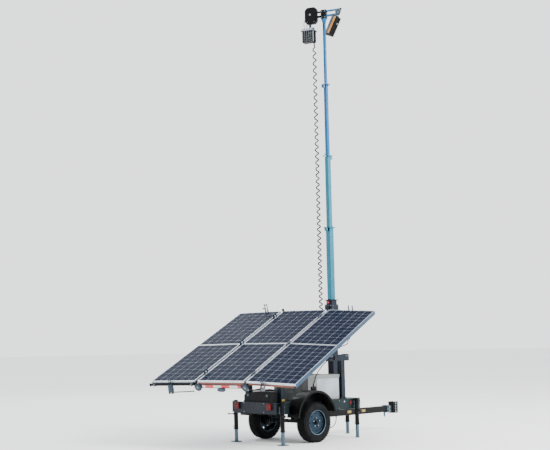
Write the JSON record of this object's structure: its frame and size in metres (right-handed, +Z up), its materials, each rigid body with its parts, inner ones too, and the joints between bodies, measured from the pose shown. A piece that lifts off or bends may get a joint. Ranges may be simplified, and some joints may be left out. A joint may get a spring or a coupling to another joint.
{
  "type": "solar light tower trailer",
  "caption": "Towable solar light tower: a low trailer with a folding, tilting solar array, a telescoping mast with aimable floodlights, drop-leg jacks and a battery cabinet.",
  "frame": {"origin": "on the ground, at the middle of the base of the bounding box, 0.375 m in front of the axle", "axes": "+Z up, +X towards the tongue and coupler, +Y to the trailer's left, the side away from the near lamp"},
  "size_m": [5.5496, 3.646, 8.545],
  "materials": {
    "array_metal": "mill-finish aluminium",
    "black_paint": "satin black paint",
    "black_plastic": "matte black moulded plastic",
    "cabinet_grey": "satin light grey powder coat",
    "frame_navy": "semi-gloss navy paint with dust",
    "galvanised": "dull galvanised steel",
    "mast_metal": "blue-tinted zinc finish, brushed lengthwise",
    "panel_cells": "dark blue cells under smooth glass in a pale frame",
    "rim_steel": "dull silver-grey painted steel",
    "rubber": "matte black rubber",
    "tail_red": "clear red lens"
  },
  "bodies": {
    "trailer": {"array_stand": "frame_navy", "axle_beam": "black_paint", "battery_block": "black_plastic", "brake_wiring": "black_plastic", "cabinet_body": "cabinet_grey", "chassis_frame": "black_paint", "controller_case": "black_plastic", "curly_cord": "black_plastic", "deck_shell": "frame_navy", "fender_far": "black_paint", "fender_near": "black_paint", "jack_sleeve_front_far": "black_paint", "jack_sleeve_front_near": "black_paint", "jack_sleeve_rear_far": "black_paint", "jack_sleeve_rear_near": "black_paint", "jack_sleeve_tongue": "black_paint", "leaf_spring_far": "black_paint", "leaf_spring_near": "black_paint", "mast_base": "frame_navy", "rear_bumper": "frame_navy", "solar_lead": "black_plastic", "tail_lamp_far": "tail_red", "tail_lamp_near": "tail_red", "tongue_clamp": "galvanised", "tongue_tube": "black_paint", "transport_cradle": "frame_navy", "winch_body": "galvanised"},
    "wheel_near": {"tyre_near": "rubber", "rim_near": "rim_steel"},
    "wheel_far": {"tyre_far": "rubber", "rim_far": "rim_steel"},
    "leg_rear_near": {"jack_leg_rear_near": "galvanised"},
    "leg_rear_far": {"jack_leg_rear_far": "galvanised"},
    "leg_front_near": {"jack_leg_front_near": "galvanised"},
    "leg_front_far": {"jack_leg_front_far": "galvanised"},
    "leg_tongue": {"jack_leg_tongue": "galvanised"},
    "crank_rear_near": {"jack_crank_rear_near": "black_plastic"},
    "crank_rear_far": {"jack_crank_rear_far": "black_plastic"},
    "crank_front_near": {"jack_crank_front_near": "black_plastic"},
    "crank_front_far": {"jack_crank_front_far": "black_plastic"},
    "lid": {"cabinet_lid": "cabinet_grey"},
    "winch_crank": {"winch_handle": "black_plastic"},
    "mast_2": {"mast_section_2": "mast_metal"},
    "mast_3": {"mast_section_3": "mast_metal"},
    "mast_4": {"mast_section_4": "mast_metal"},
    "mast_5": {"mast_section_5": "mast_metal", "lamp_arm": "black_paint", "lamp_driver": "black_plastic"},
    "lamp_near": {"flood_lamp_near": "black_plastic"},
    "lamp_far": {"flood_lamp_far": "black_plastic"},
    "turntable": {"array_turret": "frame_navy"},
    "array": {"array_centre_frame": "array_metal", "panel_centre_lower": "panel_cells", "panel_centre_upper": "panel_cells"},
    "wing_near": {"wing_frame_near": "array_metal", "panel_near_lower": "panel_cells", "panel_near_upper": "panel_cells"},
    "wing_far": {"wing_frame_far": "array_metal", "panel_far_lower": "panel_cells", "panel_far_upper": "panel_cells"}
  },
  "joints": [
    {"name": "wheel_spin_near", "type": "hinge", "parent": "trailer", "child": "wheel_near", "pos_m": [-0.3752, -0.6363, 0.368], "axis": [0, 1, 0], "continuous": true},
    {"name": "wheel_spin_far", "type": "hinge", "parent": "trailer", "child": "wheel_far", "pos_m": [-0.3752, 0.6417, 0.368], "axis": [0, 1, 0], "continuous": true},
    {"name": "leg_drop_rear_near", "type": "slide", "parent": "trailer", "child": "leg_rear_near", "axis": [0, 0, 1], "range_m": [0, 0.2]},
    {"name": "leg_drop_rear_far", "type": "slide", "parent": "trailer", "child": "leg_rear_far", "axis": [0, 0, 1], "range_m": [0, 0.2]},
    {"name": "leg_drop_front_near", "type": "slide", "parent": "trailer", "child": "leg_front_near", "axis": [0, 0, 1], "range_m": [0, 0.2]},
    {"name": "leg_drop_front_far", "type": "slide", "parent": "trailer", "child": "leg_front_far", "axis": [0, 0, 1], "range_m": [0, 0.2]},
    {"name": "leg_drop_tongue", "type": "slide", "parent": "trailer", "child": "leg_tongue", "axis": [0, 0, 1], "range_m": [0, 0.2]},
    {"name": "crank_turn_rear_near", "type": "hinge", "parent": "trailer", "child": "crank_rear_near", "pos_m": [-1.1642, -0.6716, 0.52], "axis": [0, 1, 0], "continuous": true},
    {"name": "crank_turn_rear_far", "type": "hinge", "parent": "trailer", "child": "crank_rear_far", "pos_m": [-1.1642, 0.677, 0.52], "axis": [0, 1, 0], "continuous": true},
    {"name": "crank_turn_front_near", "type": "hinge", "parent": "trailer", "child": "crank_front_near", "pos_m": [0.8648, -0.6716, 0.52], "axis": [0, 1, 0], "continuous": true},
    {"name": "crank_turn_front_far", "type": "hinge", "parent": "trailer", "child": "crank_front_far", "pos_m": [0.8648, 0.677, 0.52], "axis": [0, 1, 0], "continuous": true},
    {"name": "lid_open", "type": "hinge", "parent": "trailer", "child": "lid", "pos_m": [0.5708, 0.0027, 1.197], "axis": [0, 1, 0], "range_deg": [0, 38]},
    {"name": "winch_turn", "type": "hinge", "parent": "trailer", "child": "winch_crank", "pos_m": [1.1076, 0.112, 1.19], "axis": [0, 1, 0], "continuous": true},
    {"name": "mast_slide_2", "type": "slide", "parent": "trailer", "child": "mast_2", "axis": [0, 0, 1], "range_m": [-1.2, 0], "deforming": ["curly_cord"]},
    {"name": "mast_slide_3", "type": "slide", "parent": "mast_2", "child": "mast_3", "axis": [0, 0, 1], "range_m": [-1.2, 0]},
    {"name": "mast_slide_4", "type": "slide", "parent": "mast_3", "child": "mast_4", "axis": [0, 0, 1], "range_m": [-1.2, 0]},
    {"name": "mast_slide_5", "type": "slide", "parent": "mast_4", "child": "mast_5", "axis": [0, 0, 1], "range_m": [-0.876, 0]},
    {"name": "lamp_aim_near", "type": "hinge", "parent": "mast_5", "child": "lamp_near", "pos_m": [1.07261, -0.23905, 8.4], "axis": [0.9397, 0.342, 0], "range_deg": [-45, 8]},
    {"name": "lamp_aim_far", "type": "hinge", "parent": "mast_5", "child": "lamp_far", "pos_m": [0.83717, 0.24991, 8.375], "axis": [-0.342, 0.9397, 0], "range_deg": [-15, 15]},
    {"name": "array_slew", "type": "hinge", "parent": "trailer", "child": "turntable", "pos_m": [-0.9202, 0.0027, 0], "axis": [0, 0, 1], "range_deg": [-28, 12]},
    {"name": "array_tilt", "type": "hinge", "parent": "turntable", "child": "array", "pos_m": [-0.9202, 0.0027, 1.69], "axis": [0.23, -0.9732, 0], "range_deg": [-22.6, 20]},
    {"name": "wing_fold_near", "type": "hinge", "parent": "array", "child": "wing_near", "pos_m": [-0.86231, -0.51281, 1.83956], "axis": [-0.8984, -0.2124, -0.3843], "range_deg": [0, 182]},
    {"name": "wing_fold_far", "type": "hinge", "parent": "array", "child": "wing_far", "pos_m": [-1.12285, 0.48913, 1.89495], "axis": [0.8984, 0.2124, 0.3843], "range_deg": [0, 180]}
  ],
  "couplings": [
    {"joint": "mast_slide_3", "follows": "mast_slide_2", "ratio": 1},
    {"joint": "mast_slide_4", "follows": "mast_slide_2", "ratio": 1},
    {"joint": "mast_slide_5", "follows": "mast_slide_2", "ratio": 0.73}
  ]
}
